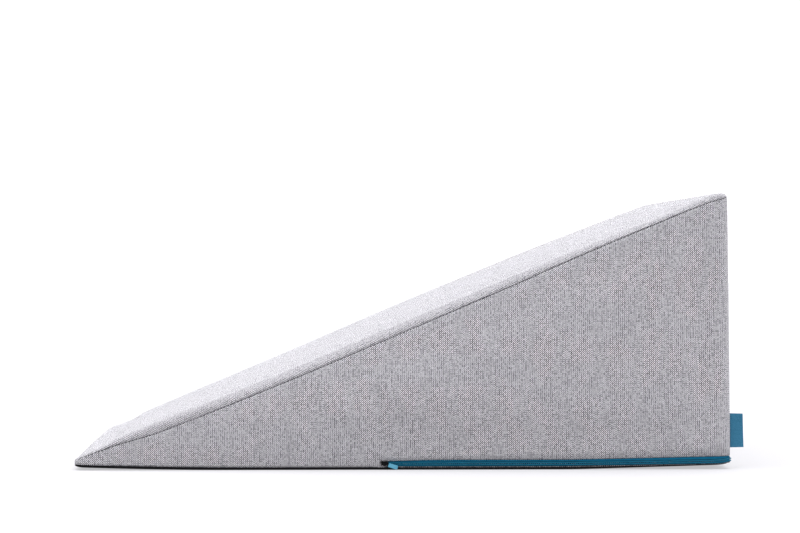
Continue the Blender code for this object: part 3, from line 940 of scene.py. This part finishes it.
COIL_PITCH = 1.35
COIL_WIDE = 1.3
COIL_DEEP = 1.25
COIL_WIRE = 0.56
COIL_STEPS = 9
COIL_APART = 0.3
SEWING_UP = 1.9
SEWING_THICK = 0.56
SEWING_PROUD = 0.1
WIRE_SIDES = 5
COIL_SQUARE = 0.75

# How deep the middle of a coil lies, as for the rod in the part's source
ROD_GAP = 0.3
ROD_THICK = 1.1
COIL_MIDDLE = TAPE_FACE - ROD_GAP - ROD_THICK / 2


def zip_line():
    """The zip's middle as points on the cover, each with the ways up the tape and out of the cover."""
    near = [x for x in X_LINES if x >= ZIP_START]
    stops = [(x, -HALF) for x in near]
    stops += [(LENGTH, y) for y in Y_LINES[1:-1]]
    stops += [(x, HALF) for x in reversed(near)]
    found = []
    for x, y in stops:
        at = levels(x, y)
        height = at.low + chain_height(x)
        middle = skin(x, y, height, at)
        up = skin(x, y, height + 1.0, at) - skin(x, y, height - 1.0, at)
        out = skin(x, y, height, at, -1.0) - middle
        found.append((in_row_frame(middle), up.normalized(), out.normalized()))
    return found


def along_zip(step):
    """The zip's middle line again at an even step, with its directions."""
    line = zip_line()
    spots = [0.0]
    for (one, _, _), (two, _, _) in zip(line, line[1:]):
        spots.append(spots[-1] + (two - one).length)
    table = np.array([[*p, *up, *out] for p, up, out in line])
    wanted = np.arange(0.0, spots[-1], step)
    return wanted, np.stack([np.interp(wanted, spots, table[:, n]) for n in range(9)], axis=1)


def coil_mesh(side):
    """One row of the closed chain: a nylon wire wound along the edge of its tape."""
    step = COIL_PITCH * MM / COIL_STEPS
    wanted, table = along_zip(step)
    place, up, out = table[:, :3], table[:, 3:6], table[:, 6:]
    turn = 2 * np.pi * wanted / (COIL_PITCH * MM) + (np.pi if side > 0 else 0.0)
    flat = np.sign(np.cos(turn)) * np.abs(np.cos(turn)) ** COIL_SQUARE
    yarn_gap_shade = side * (COIL_WIDE / 2 + COIL_APART) + flat * (COIL_WIDE - COIL_WIRE) / 2
    middle = place + up * (yarn_gap_shade * MM)[:, None]
    middle += out * ((-COIL_MIDDLE + np.sin(turn) * (COIL_DEEP - COIL_WIRE) / 2) * MM)[:, None]
    ahead = np.gradient(middle, axis=0)
    ahead /= np.linalg.norm(ahead, axis=1, keepdims=True)
    across = np.cross(ahead, out)
    across /= np.linalg.norm(across, axis=1, keepdims=True)
    over = np.cross(across, ahead)
    bm = bmesh.new()
    rings = []
    for m, a, o in zip(middle, across, over):
        ring = []
        for n in range(WIRE_SIDES):
            angle = math.tau * n / WIRE_SIDES
            around = a * math.cos(angle) + o * math.sin(angle)
            ring.append(bm.verts.new(Vector(m + around * COIL_WIRE / 2 * MM)))
        rings.append(ring)
    tube(bm, rings)
    bmesh.ops.recalc_face_normals(bm, faces=bm.faces)
    return bm


def sewing_mesh():
    """The thread that sews each row of the coil to its tape; its near-black tone is painted shade along the
    coil's edge.
    """
    _, table = along_zip(STITCH_PITCH * MM)
    bm = bmesh.new()
    for side in (-1, 1):
        rings = []
        for spot in table:
            place, up, out = (Vector(spot[n:n + 3]) for n in (0, 3, 6))
            middle = place + (up * side * SEWING_UP - out * (TAPE_FACE - SEWING_PROUD)) * MM
            ring = []
            for n in range(WIRE_SIDES):
                angle = math.tau * n / WIRE_SIDES
                around = up * math.cos(angle) + out * math.sin(angle)
                ring.append(bm.verts.new(middle + around * (SEWING_THICK / 2 * MM)))
            rings.append(ring)
        tube(bm, rings)
    bmesh.ops.recalc_face_normals(bm, faces=bm.faces)
    return bm


NYLON = ((0.006, 0.130, 0.220), (0.018, 0.190, 0.300))
# The sewing thread is real, and its near-black tone is painted shade along the coil's edge
SEWING_THREAD_SHADE = ((0.002, 0.035, 0.060), (0.004, 0.055, 0.090))

nylon = thread_material("zip_coil_nylon", *NYLON, 0.5, specular=0.15)
as_piece("coil_upper_wound", coil_mesh(1), nylon, "zip_coil", "zip_coil_upper")
as_piece("coil_lower_wound", coil_mesh(-1), nylon, "zip_coil", "zip_coil_lower")
sewing = thread_material("coil_sewing_thread_painted_shade", *SEWING_THREAD_SHADE, 0.7, specular=0.1)
as_piece("coil_sewing", sewing_mesh(), sewing, "zip_coil")


# The folded side tab

TAB_LOW = 19.6
TAB_HIGH = 51.2
TAB_OUT = 12.2
TAB_LAYER = 0.45
TAB_BETWEEN = 0.3
TAB_CAUGHT = 0.75
TAB_STEPS = 44
TAB_REACH = [0.0, 0.5, 1.0, 1.6] + [2.0 + 0.9 * n for n in range(12)]
TAB_PINCHED = 0.35
TAB_PINCH_TO = 1.3
TAB_FOLD_POINTS = 5

# How the tab stands: a wave and small curls up its height, a lean and a drop, all growing away from the seam
TAB_WAVE = 0.55
TAB_WAVES = 1.3
TAB_WAVE_START = 0.4
TAB_CURL = 0.10
TAB_CURLS = 3.1
TAB_LEAN = 0.35
TAB_DROP = 0.3


def tab_section():
    """The tab seen from above, from the seam out to the fold and back, as (out, aside) points."""
    fold_radius = TAB_LAYER + TAB_BETWEEN / 2
    tip = TAB_CAUGHT + TAB_OUT - fold_radius

    def aside(out, layer):
        return layer * clamp(out / TAB_PINCH_TO, TAB_PINCHED, 1.0)

    reach = [out for out in TAB_REACH if out < tip]
    outer = [(out, aside(out, fold_radius)) for out in reach]
    for turn in np.linspace(math.pi / 2, 0, TAB_FOLD_POINTS):
        outer.append((tip + fold_radius * math.cos(turn), fold_radius * math.sin(turn)))
    inner = [(out, aside(out, TAB_BETWEEN / 2)) for out in reach]
    inner.append((tip, 0.0))
    outline = outer + [(out, -side) for out, side in reversed(outer[:-1])]
    return outline + inner_return(inner)


def inner_return(inner):
    """The slit between the two layers, walked back out to the fold and in again."""
    back = [(out, -side) for out, side in inner[1:-1]]
    return back + [inner[-1]] + [(out, side) for out, side in reversed(inner[1:-1])]


def tab_mesh():
    """The folded strip, with its place on the flat ribbon as UVs."""
    bm = bmesh.new()
    uv = bm.loops.layers.uv.new("Cloth")
    section = tab_section()
    walked = [0.0]
    for one, two in zip(section, section[1:] + section[:1]):
        walked.append(walked[-1] + math.dist(one, two))
    rings = []
    for n in range(TAB_STEPS + 1):
        share = n / TAB_STEPS
        z = TAB_LOW + (TAB_HIGH - TAB_LOW) * share
        at = levels(LENGTH, -CORNER_SEAM)
        root = skin(LENGTH, -CORNER_SEAM, z, at, TAB_CAUGHT)
        ring = []
        for out, aside in section:
            far = out / (TAB_OUT + TAB_CAUGHT)
            wave = TAB_WAVE * math.sin(math.pi * TAB_WAVES * share + TAB_WAVE_START) * far ** 2
            curl = TAB_CURL * math.sin(math.tau * TAB_CURLS * share) * far
            lean = -TAB_LEAN * far * (share - 0.5) * 2
            drop = TAB_DROP * far * math.cos(math.pi * share)
            point = root + Vector((out + lean, aside + wave + curl, drop))
            ring.append(bm.verts.new(in_row_frame(point)))
        rings.append((ring, z))
    count = len(section)
    for (one, low), (two, high) in zip(rings, rings[1:]):
        for n in range(count):
            m = (n + 1) % count
            face = bm.faces.new((one[n], one[m], two[m], two[n]))
            corners = ((n, low), (n + 1, low), (n + 1, high), (n, high))
            for loop, (along, up) in zip(face.loops, corners):
                loop[uv].uv = (walked[along] * MM, up * MM)
    bm.faces.new(rings[0][0])
    bm.faces.new(rings[-1][0])
    bmesh.ops.recalc_face_normals(bm, faces=bm.faces)
    return bm


side_tab = as_piece(
    "side_tab_ribbon", tab_mesh(), tab_material(), "tab_cloth", "side_tab", smooth_angle=50
)


# The CAD pieces that keep their shape get their finish


def finish(node, material):
    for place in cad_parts[node].material_slots:
        place.material = material


# What shows of each tape's 10 mm between the seam and the coil, in square metres
TAPES_SHOWN = {"zip_tape_upper": 0.0043, "zip_tape_lower": 0.0038}

tape = tape_material()
for name, shown in TAPES_SHOWN.items():
    finish(name, tape)
lacquer = metal_material()
for name in ("zip_slider", "zip_pull_loop"):
    finish(name, lacquer)
finish("zip_pull_tab", pull_material())


# Stage, light and camera

FLOOR_SIZE = 60.0

bm = bmesh.new()
bmesh.ops.create_grid(bm, x_segments=1, y_segments=1, size=FLOOR_SIZE / 2)
floor_mesh = bpy.data.meshes.new("floor")
bm.to_mesh(floor_mesh)
bm.free()
floor_mesh.materials.append(floor_material())
floor = bpy.data.objects.new("floor", floor_mesh)
bpy.context.scene.collection.objects.link(floor)


ROOM_FRONT = 0.62
ROOM_BACK = 1.30
ROOM_RIGHT = 2.2
RIGHT_POWER = 6.0
CEILING = 3.6
CEILING_POWER = 3.0


def studio_world():
    """A white tent: brightest overhead and to the right, bright behind and softer in front."""
    world = bpy.data.worlds.new("studio")
    bpy.context.scene.world = world
    world.use_nodes = True
    tree = world.node_tree
    place = tree.nodes.new("ShaderNodeTexCoord").outputs["Generated"]
    split = tree.nodes.new("ShaderNodeSeparateXYZ")
    tree.links.new(place, split.inputs[0])
    towards = math_node(tree, "MULTIPLY_ADD", split.outputs[1], 0.5, 0.5, clamped=True)
    room = math_node(tree, "MULTIPLY_ADD", towards, ROOM_BACK - ROOM_FRONT, ROOM_FRONT)
    right = math_node(tree, "MAXIMUM", split.outputs[0], 0.0)
    right = math_node(tree, "POWER", right, RIGHT_POWER)
    room = math_node(tree, "MULTIPLY_ADD", right, ROOM_RIGHT, room)
    overhead = math_node(tree, "MAXIMUM", split.outputs[2], 0.0)
    overhead = math_node(tree, "POWER", overhead, CEILING_POWER)
    tent = tree.nodes["Background"]
    tree.links.new(math_node(tree, "MULTIPLY_ADD", overhead, CEILING, room), tent.inputs["Strength"])
    tent.inputs["Color"].default_value = WHITE


studio_world()
bpy.context.scene.view_settings.view_transform = "Standard"

camera_data = bpy.data.cameras.new("camera")
camera_data.sensor_width = SENSOR
camera_data.lens = FOCAL_PX * SENSOR / PICTURE_WIDE
camera_data.clip_end = 200.0
camera = bpy.data.objects.new("camera", camera_data)
camera.location = Vector(EYE) * MM
camera.rotation_euler = (Vector(AIM) - Vector(EYE)).to_track_quat("-Z", "Y").to_euler()
bpy.context.scene.collection.objects.link(camera)
bpy.context.scene.camera = camera
